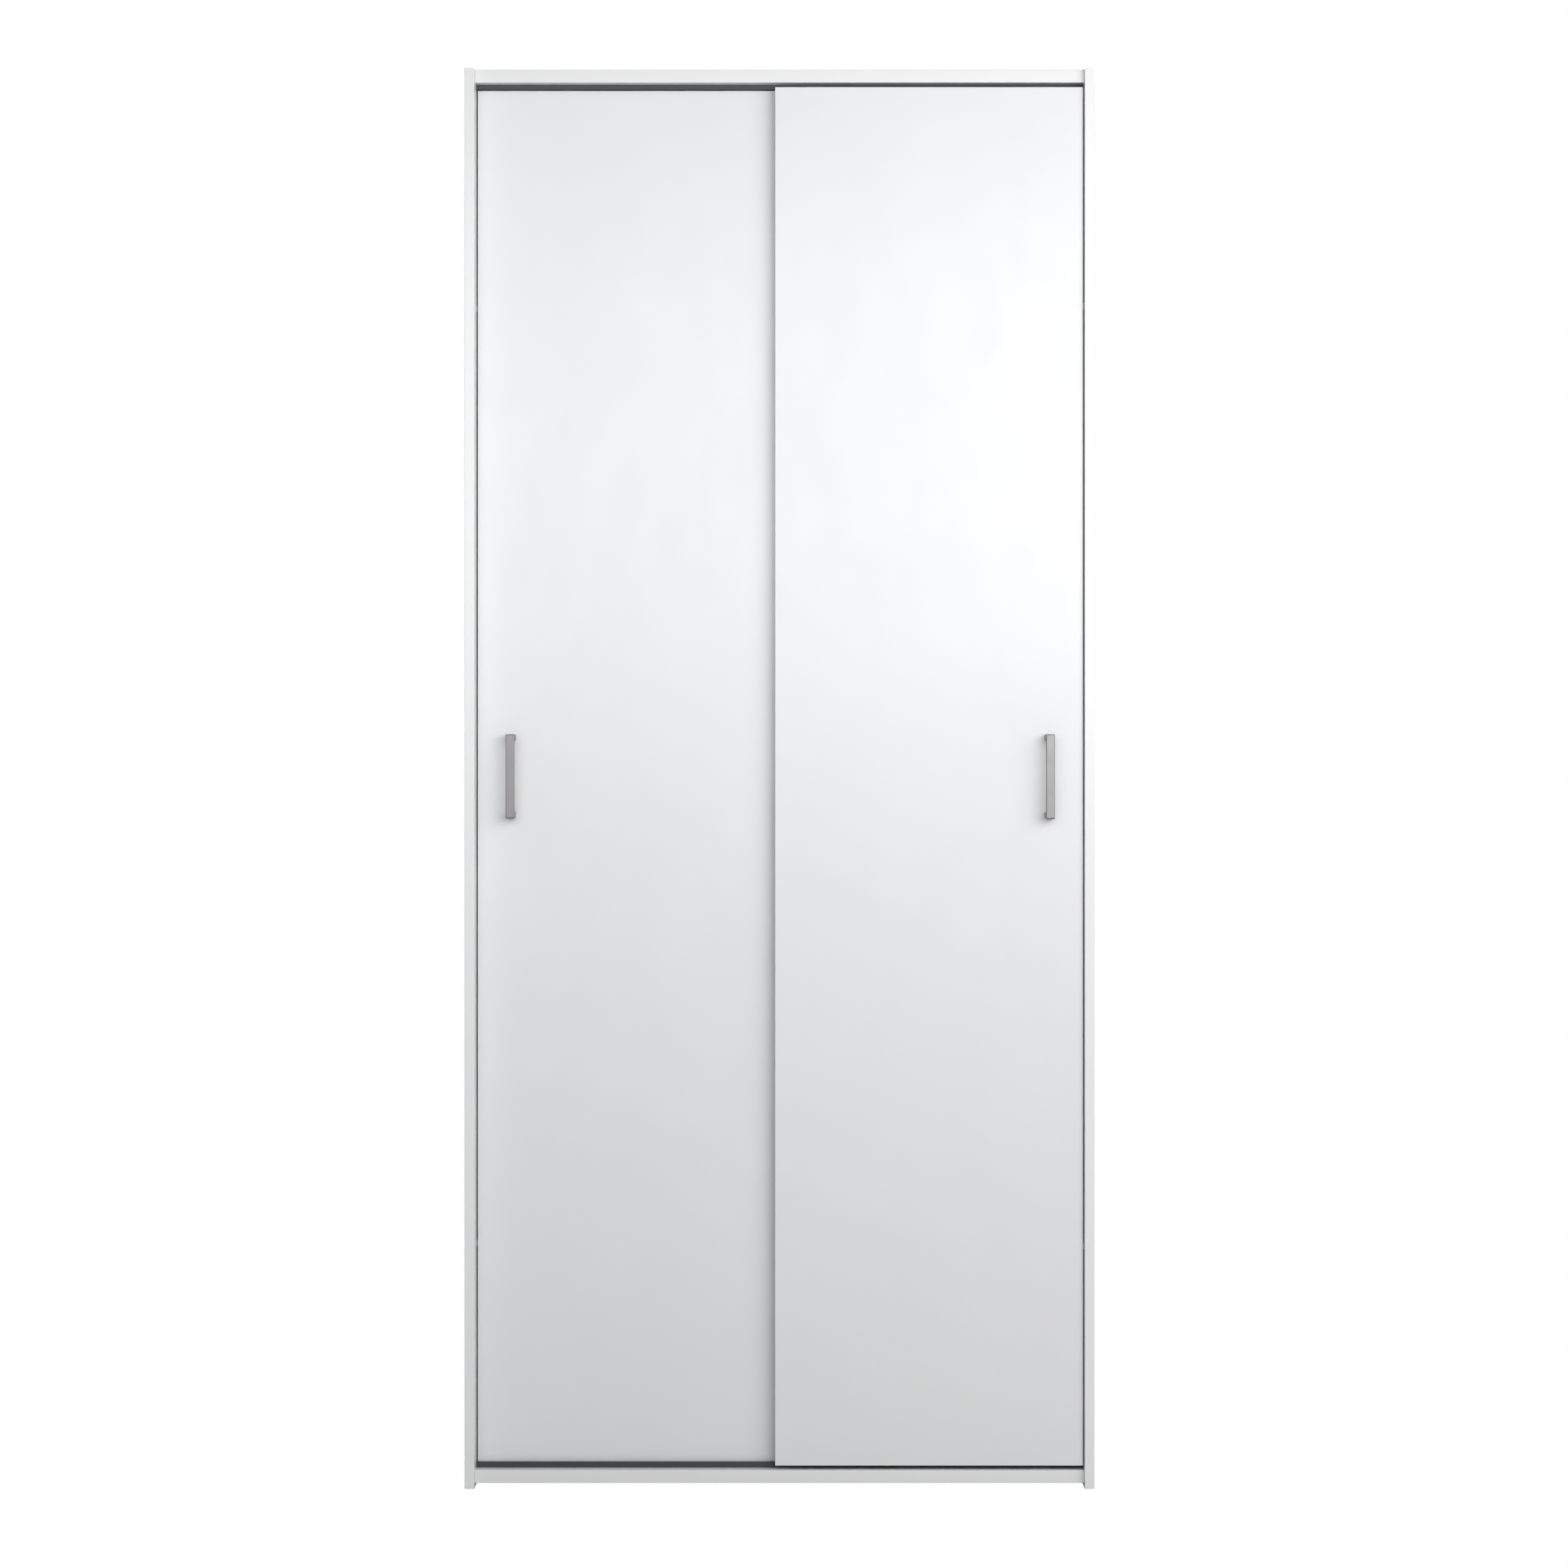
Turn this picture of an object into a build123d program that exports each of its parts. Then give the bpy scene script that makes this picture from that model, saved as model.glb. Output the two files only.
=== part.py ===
"""Sliding door wardrobe: a melamine carcass with two doors that slide past each other.

Lengths are millimetres. X is to the right, Z is up and the front faces -Y. While the pieces are
made, y is the depth behind the front edges of the side panels; export shifts them so that the
origin is the middle of the whole wardrobe's footprint, on the floor.
"""

import os
from typing import NamedTuple

from build123d import *


class Screw(NamedTuple):
    """A screw's shank radius and length under the head, and its head's radius and height."""

    radius: float
    length: float
    head_radius: float
    head_height: float


class Level(NamedTuple):
    """A horizontal board's underside and the depths of its cam bolts and dowels."""

    z: float
    bolts: tuple
    dowels: tuple


# Overall
WIDTH = 776.0
DEPTH = 495.0
SIDE_HEIGHT = 1750.0
GLIDE_HEIGHT = 3.0

# Boards
SIDE_T = 12.0
BOARD_T = 16.0
DOOR_T = 12.0
HARDBOARD_T = 3.0
BOARD_SETBACK = 10.5
BOTTOM_GAP = 5.0
SHELF_Z = 1433.0
SHELF_SETBACK = 64.0
SHELF_BACK_GAP = 3.0
HARDBOARD_INSET = 2.0
EDGE_R = 0.8

# Strip between the two hardboard sheets
STRIP_FLANGE_T = 0.8
STRIP_FLANGE = 10.0
STRIP_WEB = 1.0
STRIP_PLAY = 0.2

# Play between pieces that fit together, and how far cutters reach past a face
PLAY = 0.05
POCKET_PLAY = 0.2
RUNNING_GAP = 0.3
OVERRUN = 1.0

# Doors
DOOR_W = 380.0
DOOR_SIDE_GAP = 1.5
DOOR_BOTTOM_Z = 30.0
DOOR_TOP_Z = 1731.0
FRONT_DOOR_SETBACK = 7.6
DOOR_PITCH = 24.0

# Handles
HANDLE_LENGTH = 104.0
HANDLE_W = 10.6
HANDLE_PROJECTION = 27.0
HANDLE_LEG = 8.0
HANDLE_BAR_T = 5.5
HANDLE_INNER_R = 4.0
HANDLE_OUTER_R = 1.6
HANDLE_EDGE_R = 0.9
HANDLE_FROM_EDGE = 42.0
HANDLE_SCREW = Screw(2.0, DOOR_T + 10.0, 4.0, 2.4)
HANDLE_HOLE_PLAY = 0.25
HANDLE_THREAD = 11.0

# Tracks
RIB_T = 2.5
RIB_SETBACK = 25.3
RIB_EDGE_R = 0.5
WEB_T = 1.5
BOTTOM_RIB = 7.1
TOP_RIB = 5.8
TRACK_END_GAP = 0.5
TRACK_SCREW = Screw(1.5, 12.0, 3.0, 1.5)
TRACK_SCREW_XS = (-340.0, -170.0, 0.0, 170.0, 340.0)

# Rollers: the rim runs on a rib, and a thin web joins it to the hub
ROLLER_SPREAD = 280.0
ROLLER_GAP = 0.1
ROLLER_W = 5.6
GROOVE_W = 3.3
TREAD_R = 8.0
FLANGE_R = 10.0
FLANGE_TAPER = 0.25
RIM_CHAMFER = 0.4
RIM_INNER_R = 7.4
WEB_OUTER_R = 6.6
WEB_OUTER_SINK = 0.8
WEB_INNER_R = 4.6
WEB_INNER_SINK = 1.1
HUB_R = 4.0

# Axles
AXLE_R = 2.0
AXLE_START = 0.2
AXLE_HEAD_R = 3.6
AXLE_HEAD_T = 0.7
AXLE_HEAD_EDGE_R = 0.4

# Carriages
CARRIAGE_W = 44.0
CARRIAGE_T = 3.0
CARRIAGE_H = 36.0
CARRIAGE_LIFT = 0.5
CARRIAGE_R = 5.0
CARRIAGE_EDGE_R = 0.5
BOSS_R = 3.8
FITTING_SCREW = Screw(1.6, 12.0, 3.2, 1.8)
SCREW_HOLE_PLAY = 0.2
CARRIAGE_SCREW_X = 14.0
CARRIAGE_SCREW_RISE = 28.0

# Top guides
GUIDE_TRAVEL = 6.0
GUIDE_BELOW_RIB = 6.2
GUIDE_HALF_W = 15.7
GUIDE_BLOCK = 20.0
GUIDE_BITE = 3.5
GUIDE_PLATE_T = 1.5
GUIDE_PLATE_R = 4.0
GUIDE_PLATE_RISE = 3.0
GUIDE_EAR = 27.0
GUIDE_RAIL_T = 3.0
GUIDE_LIP = 2.0
GUIDE_LIP_T = 1.0
GUIDE_FRONT = 10.6
GUIDE_SHELF_T = 2.0
GUIDE_STOP_T = 2.0
GUIDE_STOP_DEPTH = 4.0
GUIDE_STOP_GAP = 1.0
GUIDE_SCREW_X = 23.0
GUIDE_SCREW_RISE = 20.0
FORK_HALF_W = 12.0
FORK_ARM_T = 2.0
FORK_PLAY = 0.4
FORK_R = 2.0
GRIP_MARGIN = 3.0
GRIP_DEPTH = 1.2
GRIP_LOW = 7.0
GRIP_HIGH = 11.0

# Leaf springs of the top guides
SPRING_T = 0.6
SPRING_FLAT = 3.0
SPRING_FOOT_GAP = 0.1
SPRING_RISE = 8.2
SPRING_HALF_W = 11.0
SPRING_W = 5.0

# Cam bolts and cam locks
BOLT_R = 2.5
BOLT_SHAFT_R = 3.0
BOLT_NECK_R = 1.8
BOLT_NECK = 4.0
BOLT_HEAD_R = 3.4
BOLT_HEAD_T = 2.0
BOLT_IN_SIDE = 8.5
BOLT_REACH = 24.0
CAM_R = 7.4
CAM_H = 12.0
CAM_EDGE_R = 0.6
CAM_MOUTH_FLOOR = 4.1
CAM_RECESS_R = 3.7
CAM_RECESS_DEPTH = 2.2

# Dowels
DOWEL_R = 4.0
DOWEL_CHAMFER = 0.8
DOWEL_IN_SIDE = 8.0
DOWEL_IN_BOARD = 22.0

# Depths of the fixings in the top, the bottom and the shelf
BOLT_DEPTHS = (60.0, 430.0)
DOWEL_DEPTHS = (100.0, 390.0)
SHELF_BOLT_DEPTHS = (110.0, 430.0)
SHELF_DOWEL_DEPTHS = (150.0, 390.0)

# Clothes rail
RAIL_R = 12.5
RAIL_WALL = 1.2
RAIL_Z = 1372.0
RAIL_DEPTH = 275.0
RAIL_END_GAP = 0.4
RAIL_PLATE_T = 3.0
RAIL_PLATE_R = 24.0
RAIL_PLATE_EDGE_R = 0.8
RAIL_SOCKET = 14.0
RAIL_SOCKET_WALL = 2.5
RAIL_SCREW = Screw(2.0, 11.0, 3.6, 2.0)
RAIL_SCREW_INSET = 5.0

# Wall brackets
WALL_BRACKET_X = 200.0
WALL_BRACKET_W = 24.0
WALL_BRACKET_T = 2.0
WALL_BRACKET_LEG = 40.0
WALL_BRACKET_R = 4.0
WALL_BRACKET_SCREW = Screw(1.75, 14.0, 3.5, 2.0)
WALL_BRACKET_SCREWS_FROM_BACK = (30.0, 16.0)
WALL_SCREW_R = 2.5
WALL_SCREW_RISE = 12.0

# Panel nails in the back
NAIL_R = 0.7
NAIL_LENGTH = 14.0
NAIL_TIP = 1.6
NAIL_TIP_R = 0.1
NAIL_HEAD_R = 1.8
NAIL_HEAD_T = 0.5
NAIL_ROWS = 12
NAIL_FROM_END = 40.0
NAIL_COLUMNS = (-260.0, -130.0, 0.0, 130.0, 260.0)

# Floor glides
GLIDE_W = 10.0
GLIDE_LENGTH = 40.0
GLIDE_R = 4.0
GLIDE_EDGE_R = 0.8
GLIDE_PIN_R = 1.0
GLIDE_PIN = 11.0
GLIDE_DEPTHS = (45.0, 445.0)

# Door bumpers
BUMPER_R = 4.5
BUMPER_EDGE_R = 0.4
BUMPER_FROM_END = 270.0

# Screws' cross recesses
CROSS_W = 0.9

# Derived heights and depths
CARCASS_TOP = GLIDE_HEIGHT + SIDE_HEIGHT
BOTTOM_BOARD_Z = GLIDE_HEIGHT + BOTTOM_GAP
FLOOR_BOARD_TOP = BOTTOM_BOARD_Z + BOARD_T
TOP_BOARD_Z = CARCASS_TOP - BOARD_T
SIDE_DEPTH = DEPTH - HARDBOARD_T - STRIP_FLANGE_T
INSIDE_X = WIDTH / 2 - SIDE_T
SIDE_MIDDLE_X = WIDTH / 2 - SIDE_T / 2
TRACK_HALF = INSIDE_X - TRACK_END_GAP
REAR_DOOR_SETBACK = FRONT_DOOR_SETBACK + DOOR_PITCH
RIB_FROM_DOOR_BACK = RIB_SETBACK + RIB_T / 2 - FRONT_DOOR_SETBACK - DOOR_T
ROLLER_Z = FLOOR_BOARD_TOP + BOTTOM_RIB + ROLLER_GAP + TREAD_R
AXLE_END = RIB_FROM_DOOR_BACK + ROLLER_W / 2 + RUNNING_GAP
BOSS_LENGTH = RIB_FROM_DOOR_BACK - ROLLER_W / 2 - RUNNING_GAP
TRACK_SCREW_DEPTH = RIB_SETBACK + (DOOR_PITCH + RIB_T) / 2
HANDLE_Z = (DOOR_BOTTOM_Z + DOOR_TOP_Z) / 2
JOIN_Z = HANDLE_Z
WALL_SCREW_Z = TOP_BOARD_Z - WALL_BRACKET_LEG + WALL_SCREW_RISE
FRONT_Y = (HANDLE_PROJECTION - FRONT_DOOR_SETBACK - DEPTH) / 2

# Heights in a top guide, from the fork down to the housing's shelf
RIB_LOWER_EDGE = TOP_BOARD_Z - TOP_RIB
FORK_TOP = RIB_LOWER_EDGE + GUIDE_BITE
SLIDER_TOP = RIB_LOWER_EDGE - GUIDE_BELOW_RIB
SLIDER_BOTTOM = SLIDER_TOP - GUIDE_BLOCK
GUIDE_SHELF_Z = SLIDER_BOTTOM - GUIDE_TRAVEL - SPRING_FLAT
GUIDE_STOP_Z = SLIDER_TOP + RUNNING_GAP

LEVELS = (
    Level(BOTTOM_BOARD_Z, BOLT_DEPTHS, DOWEL_DEPTHS),
    Level(SHELF_Z, SHELF_BOLT_DEPTHS, SHELF_DOWEL_DEPTHS),
    Level(TOP_BOARD_Z, BOLT_DEPTHS, DOWEL_DEPTHS),
)

# Each side's sign, each door's setback, and a door's outer and inner fittings
SIDES = {"left": -1, "right": 1}
SETBACKS = {"left": REAR_DOOR_SETBACK, "right": FRONT_DOOR_SETBACK}
ENDS = {"outer": 1, "inner": -1}

UPRIGHT = (Align.CENTER, Align.CENTER, Align.MIN)
LEFT, RIGHT = Vector(-1, 0, 0), Vector(1, 0, 0)
FORWARD, BACKWARD = Vector(0, -1, 0), Vector(0, 1, 0)
DOWN, UP = Vector(0, 0, -1), Vector(0, 0, 1)


def block(x, y, z):
    """A box between the low and high end given for each axis."""
    size = [high - low for low, high in (x, y, z)]
    middle = [(high + low) / 2 for low, high in (x, y, z)]
    return Pos(*middle) * Box(*size)


def along(shape, point, direction):
    """A shape made along +Z from the origin, moved to a point and turned to a direction."""
    return Plane(origin=point, z_dir=direction).location * shape


def rod(radius, length, start=0.0):
    """A cylinder along +Z from a start."""
    return Pos(0, 0, start) * Cylinder(radius, length, align=UPRIGHT)


def drill(point, direction, radius, depth):
    """A round cutter that goes in along a direction, from just outside a surface."""
    return along(rod(radius, depth + OVERRUN, -OVERRUN), point, direction)


def ease(board, axis, depth):
    """Rounds the long front edges of a board."""
    edges = [e for e in board.edges().filter_by(axis) if abs(e.center().Y - depth) < PLAY]
    return fillet(edges, EDGE_R)


def outward(sign):
    """The way from the middle of the wardrobe to a side."""
    return RIGHT if sign > 0 else LEFT


def inward(sign):
    """The way from a side to the middle of the wardrobe."""
    return LEFT if sign > 0 else RIGHT


def save(name, *solids):
    """Writes a node: one piece, or a group of identical fasteners."""
    placed = [Pos(0, FRONT_Y, 0) * solid for solid in solids]
    shape = placed[0] if len(placed) == 1 else Compound(children=placed)
    export_step(shape, f"parts/{name}.step")


# ---------------------------------------------------------------- screws and nails


def cross_recess(radius, depth):
    """The cutter for the cross in a screw's head, going in from z = 0."""
    slot = Box(2 * radius, CROSS_W, depth, align=UPRIGHT)
    return slot + Box(CROSS_W, 2 * radius, depth, align=UPRIGHT)


def shank(screw, tip):
    """A screw's shank from z = 0 along +Z, ending in a blunt tip."""
    body = rod(screw.radius, screw.length - tip)
    point = Cone(screw.radius, screw.radius / 3, tip, align=UPRIGHT)
    return body + Pos(0, 0, screw.length - tip) * point


def pan_screw(screw):
    """A pan head screw whose head rests on z = 0 and whose shank goes in along +Z."""
    head = rod(screw.head_radius, screw.head_height, -screw.head_height)
    head = fillet(head.edges().group_by(Axis.Z)[0], screw.head_height / 2)
    recess = cross_recess(screw.head_radius / 2, screw.head_height / 2)
    tip = min(2 * screw.radius, screw.length / 3)
    return head + shank(screw, tip) - Pos(0, 0, -screw.head_height) * recess


def flat_screw(screw):
    """A countersunk screw whose head is flush with z = 0 and whose shank goes in along +Z."""
    head = Cone(screw.head_radius, screw.radius, screw.head_height, align=UPRIGHT)
    recess = cross_recess(screw.head_radius / 2, screw.head_height)
    return head + shank(screw, 2 * screw.radius) - recess


def nail():
    """A small panel nail, with its head's underside on z = 0."""
    point = Cone(NAIL_R, NAIL_TIP_R, NAIL_TIP, align=UPRIGHT)
    pin = rod(NAIL_R, NAIL_LENGTH) + Pos(0, 0, NAIL_LENGTH) * point
    return pin + rod(NAIL_HEAD_R, NAIL_HEAD_T, -NAIL_HEAD_T)


def holes(places, way, screw, plate):
    """The clearance holes for screws through a plate."""
    return [drill(p, way, screw.radius + SCREW_HOLE_PLAY, plate) for p in places]


# ---------------------------------------------------------------- carcass joints


def cam_bolt():
    """Screws into a side panel towards -Z and reaches into a board along +Z."""
    shaft = BOLT_REACH - BOLT_NECK - BOLT_HEAD_T
    bolt = rod(BOLT_R, BOLT_IN_SIDE, -BOLT_IN_SIDE) + rod(BOLT_SHAFT_R, shaft)
    bolt += rod(BOLT_NECK_R, BOLT_NECK, shaft)
    return bolt + rod(BOLT_HEAD_R, BOLT_HEAD_T, shaft + BOLT_NECK)


def cam_lock():
    """A cam with its screwdriver face on z = 0, its body along +Z and its mouth towards +X."""
    body = rod(CAM_R, CAM_H)
    body = fillet(body.edges().group_by(Axis.Z)[0], CAM_EDGE_R)
    half = BOLT_HEAD_R + RUNNING_GAP
    mouth = block((-BOLT_HEAD_R, CAM_R), (-half, half), (CAM_MOUTH_FLOOR, CAM_H + OVERRUN))
    return body - mouth - cross_recess(CAM_RECESS_R, CAM_RECESS_DEPTH)


def dowel():
    """A chamfered dowel across z = 0, mostly in a board along +Z."""
    start = PLAY - DOWEL_IN_SIDE
    peg = rod(DOWEL_R, DOWEL_IN_BOARD - start, start)
    return chamfer(peg.edges().filter_by(GeomType.CIRCLE), DOWEL_CHAMFER)


def crossings(level, depths):
    """Where fixings cross the side panels' inner faces, each with the side's sign."""
    z = level.z + BOARD_T / 2
    return [(Vector(s * INSIDE_X, depth, z), s) for depth in depths for s in SIDES.values()]


def bolt_places():
    """Where every cam bolt enters a side panel."""
    return [place for level in LEVELS for place in crossings(level, level.bolts)]


def dowel_places():
    """Where every dowel enters a side panel."""
    return [place for level in LEVELS for place in crossings(level, level.dowels)]


def cam_places(level):
    """Where each cam sits in the underside of a board, with the sign its mouth faces."""
    x = INSIDE_X - BOLT_REACH
    return [(Vector(s * x, depth, level.z), s) for depth in level.bolts for s in SIDES.values()]


def rail_screw_places(sign):
    """The two screws of a clothes rail bracket, above and below the rail."""
    spread = RAIL_PLATE_R - RAIL_SCREW_INSET
    x = sign * (INSIDE_X - RAIL_PLATE_T)
    return [Vector(x, RAIL_DEPTH, RAIL_Z + step * spread) for step in (-1, 1)]


def glide_places(sign):
    """The middle of each floor glide's top face, under a side panel."""
    return [Vector(sign * SIDE_MIDDLE_X, depth, GLIDE_HEIGHT) for depth in GLIDE_DEPTHS]


def side_panel(sign):
    """An upright side, drilled for its bolts, dowels, rail bracket screws and glides."""
    x = sorted((sign * INSIDE_X, sign * WIDTH / 2))
    board = ease(block(x, (0, SIDE_DEPTH), (GLIDE_HEIGHT, CARCASS_TOP)), Axis.Z, 0)
    way = outward(sign)
    cutters = [drill(p, way, BOLT_R + PLAY, BOLT_IN_SIDE) for p, s in bolt_places() if s == sign]
    cutters += [drill(p, way, DOWEL_R + PLAY, DOWEL_IN_SIDE) for p, s in dowel_places() if s == sign]
    reach = RAIL_SCREW.length + PLAY
    cutters += [drill(p, way, RAIL_SCREW.radius + PLAY, reach) for p in rail_screw_places(sign)]
    cutters += [drill(p, UP, GLIDE_PIN_R + PLAY, GLIDE_PIN + PLAY) for p in glide_places(sign)]
    return board - cutters


def flat_board(level, setback, back, screws):
    """A board between the sides, with cam pockets, edge holes and pilot holes for screws."""
    board = block((-INSIDE_X, INSIDE_X), (setback, back), (level.z, level.z + BOARD_T))
    board = ease(board, Axis.X, setback)
    cutters = [drill(p, UP, CAM_R + POCKET_PLAY, CAM_H + PLAY) for p, _ in cam_places(level)]
    cutters += [
        drill(p, inward(s), BOLT_HEAD_R + POCKET_PLAY, BOLT_REACH)
        for p, s in crossings(level, level.bolts)
    ]
    cutters += [
        drill(p, inward(s), DOWEL_R + PLAY, DOWEL_IN_BOARD + PLAY)
        for p, s in crossings(level, level.dowels)
    ]
    return board - cutters - screws


# ---------------------------------------------------------------- tracks


def track_screw_places(face, way):
    """The flush head of each screw of a track on a board's face."""
    z = face - way.Z * WEB_T
    return [Vector(x, TRACK_SCREW_DEPTH, z) for x in TRACK_SCREW_XS]


def track_pilots(face, way):
    """The cutters for a track's screws in the board behind it."""
    depth = TRACK_SCREW.length - WEB_T + PLAY
    places = [Vector(x, TRACK_SCREW_DEPTH, face) for x in TRACK_SCREW_XS]
    return [drill(p, way, TRACK_SCREW.radius + PLAY, depth) for p in places]


def track(face, way, rib_height):
    """A two-rib track on a board's face, whose screws go in along a way."""
    span = (RIB_SETBACK, RIB_SETBACK + DOOR_PITCH + RIB_T)
    crown_z = face - way.Z * rib_height
    profile = block((-TRACK_HALF, TRACK_HALF), span, sorted((face, face - way.Z * WEB_T)))
    for start in (span[0], span[1] - RIB_T):
        rib = block((-TRACK_HALF, TRACK_HALF), (start, start + RIB_T), sorted((face, crown_z)))
        crown = [e for e in rib.edges().filter_by(Axis.X) if abs(e.center().Z - crown_z) < PLAY]
        profile += fillet(crown, RIB_EDGE_R)
    head = TRACK_SCREW.head_radius + PLAY
    sink = Cone(head, TRACK_SCREW.radius + PLAY, TRACK_SCREW.head_height, align=UPRIGHT)
    return profile - [along(sink, p, way) for p in track_screw_places(face, way)]


# ---------------------------------------------------------------- doors


def door_centre(sign):
    """The middle of a closed door across the wardrobe."""
    return sign * (INSIDE_X - DOOR_SIDE_GAP - DOOR_W / 2)


def fitting_x(sign, end):
    """The middle of a roller and of the top guide above it."""
    return door_centre(sign) + sign * end * ROLLER_SPREAD / 2


def handle_x(sign):
    """The handle's axis, near the door's outer edge."""
    return door_centre(sign) + sign * (DOOR_W / 2 - HANDLE_FROM_EDGE)


def handle_screw_places(sign, depth):
    """Where each handle screw's axis meets a depth."""
    spread = (HANDLE_LENGTH - HANDLE_LEG) / 2
    return [Vector(handle_x(sign), depth, HANDLE_Z + step * spread) for step in (-1, 1)]


def carriage_screw_places(x, depth):
    """Where the axes of a carriage's two screws, above its roller, meet a depth."""
    z = DOOR_BOTTOM_Z + CARRIAGE_SCREW_RISE
    return [Vector(x + step * CARRIAGE_SCREW_X, depth, z) for step in (-1, 1)]


def guide_screw_places(x, depth):
    """Where the axes of a top guide's two screws, one in each ear, meet a depth."""
    z = GUIDE_SHELF_Z + GUIDE_SCREW_RISE
    return [Vector(x + step * GUIDE_SCREW_X, depth, z) for step in (-1, 1)]


def door_panel(sign, setback):
    """A plain flat door with rounded edges, drilled for its handle, carriages and guides."""
    back = setback + DOOR_T
    x = door_centre(sign)
    panel = block((x - DOOR_W / 2, x + DOOR_W / 2), (setback, back), (DOOR_BOTTOM_Z, DOOR_TOP_Z))
    panel = fillet(panel.edges(), EDGE_R)
    radius = HANDLE_SCREW.radius + HANDLE_HOLE_PLAY
    places = handle_screw_places(sign, back)
    cutters = [drill(p, FORWARD, radius, DOOR_T + OVERRUN) for p in places]
    radius = FITTING_SCREW.radius + PLAY
    reach = FITTING_SCREW.length + PLAY
    for end in ENDS.values():
        lower = carriage_screw_places(fitting_x(sign, end), back)
        cutters += [drill(p, FORWARD, radius, reach - CARRIAGE_T) for p in lower]
        upper = guide_screw_places(fitting_x(sign, end), back)
        cutters += [drill(p, FORWARD, radius, reach - GUIDE_PLATE_T) for p in upper]
    return panel - cutters


def handle(sign, setback):
    """A bow handle: a flat bar on two legs, with round inner corners."""
    half = HANDLE_LENGTH / 2
    outline = Rectangle(HANDLE_PROJECTION, HANDLE_LENGTH, align=(Align.MIN, Align.CENTER))
    body = extrude(Plane.YZ * outline, HANDLE_W / 2, both=True)
    tips = [e for e in body.edges().filter_by(Axis.X) if e.center().Y < PLAY]
    body = fillet(tips, HANDLE_OUTER_R)
    reach = (HANDLE_BAR_T, HANDLE_PROJECTION + OVERRUN)
    gap = block((-HANDLE_W, HANDLE_W), reach, (HANDLE_LEG - half, half - HANDLE_LEG))
    corners = [e for e in gap.edges().filter_by(Axis.X) if e.center().Y < HANDLE_BAR_T + PLAY]
    body -= fillet(corners, HANDLE_INNER_R)
    faces = body.faces().filter_by(Axis.X)
    rims = [e for face in faces for e in face.edges() if e.center().Y < HANDLE_PROJECTION - PLAY]
    body = fillet(rims, HANDLE_EDGE_R)
    body = Pos(handle_x(sign), setback - HANDLE_PROJECTION, HANDLE_Z) * body
    seats = handle_screw_places(sign, setback)
    return body - [drill(p, FORWARD, HANDLE_SCREW.radius + PLAY, HANDLE_THREAD) for p in seats]


def roller(x, depth):
    """A grooved nylon wheel on the crown of a rib, with a thin web and a hub."""
    half = ROLLER_W / 2
    groove = GROOVE_W / 2
    upper = [
        (AXLE_R + PLAY, half),
        (HUB_R, half),
        (WEB_INNER_R, half - WEB_INNER_SINK),
        (WEB_OUTER_R, half - WEB_OUTER_SINK),
        (RIM_INNER_R, half),
        (FLANGE_R - RIM_CHAMFER, half),
        (FLANGE_R, half - RIM_CHAMFER),
        (FLANGE_R, groove + FLANGE_TAPER),
        (TREAD_R, groove),
    ]
    lower = [(radius, -z) for radius, z in reversed(upper)]
    profile = make_face(Polyline(*upper, *lower, close=True))
    wheel = revolve(Plane.XZ * profile, Axis.Z)
    return along(wheel, Vector(x, depth, ROLLER_Z), BACKWARD)


def carriage(x, back):
    """A plate on the back of the door, with a boss that carries one roller."""
    low = DOOR_BOTTOM_Z + CARRIAGE_LIFT
    half = CARRIAGE_W / 2
    plate = block((x - half, x + half), (back, back + CARRIAGE_T), (low, low + CARRIAGE_H))
    plate = fillet(plate.edges().filter_by(Axis.Y), CARRIAGE_R)
    plate = fillet(plate.faces().sort_by(Axis.Y)[-1].edges(), CARRIAGE_EDGE_R)
    plate += along(rod(BOSS_R, BOSS_LENGTH), Vector(x, back, ROLLER_Z), BACKWARD)
    places = carriage_screw_places(x, back + CARRIAGE_T)
    bore = drill(Vector(x, back + BOSS_LENGTH, ROLLER_Z), FORWARD, AXLE_R + PLAY, BOSS_LENGTH)
    return plate - holes(places, FORWARD, FITTING_SCREW, CARRIAGE_T) - bore


def axle(x, back):
    """A steel rivet through the roller and the carriage's boss."""
    head = rod(AXLE_HEAD_R, AXLE_HEAD_T, AXLE_END)
    head = fillet(head.edges().group_by(Axis.Z)[-1], AXLE_HEAD_EDGE_R)
    pin = rod(AXLE_R, AXLE_END - AXLE_START, AXLE_START)
    return along(pin + head, Vector(x, back, ROLLER_Z), BACKWARD)


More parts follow.
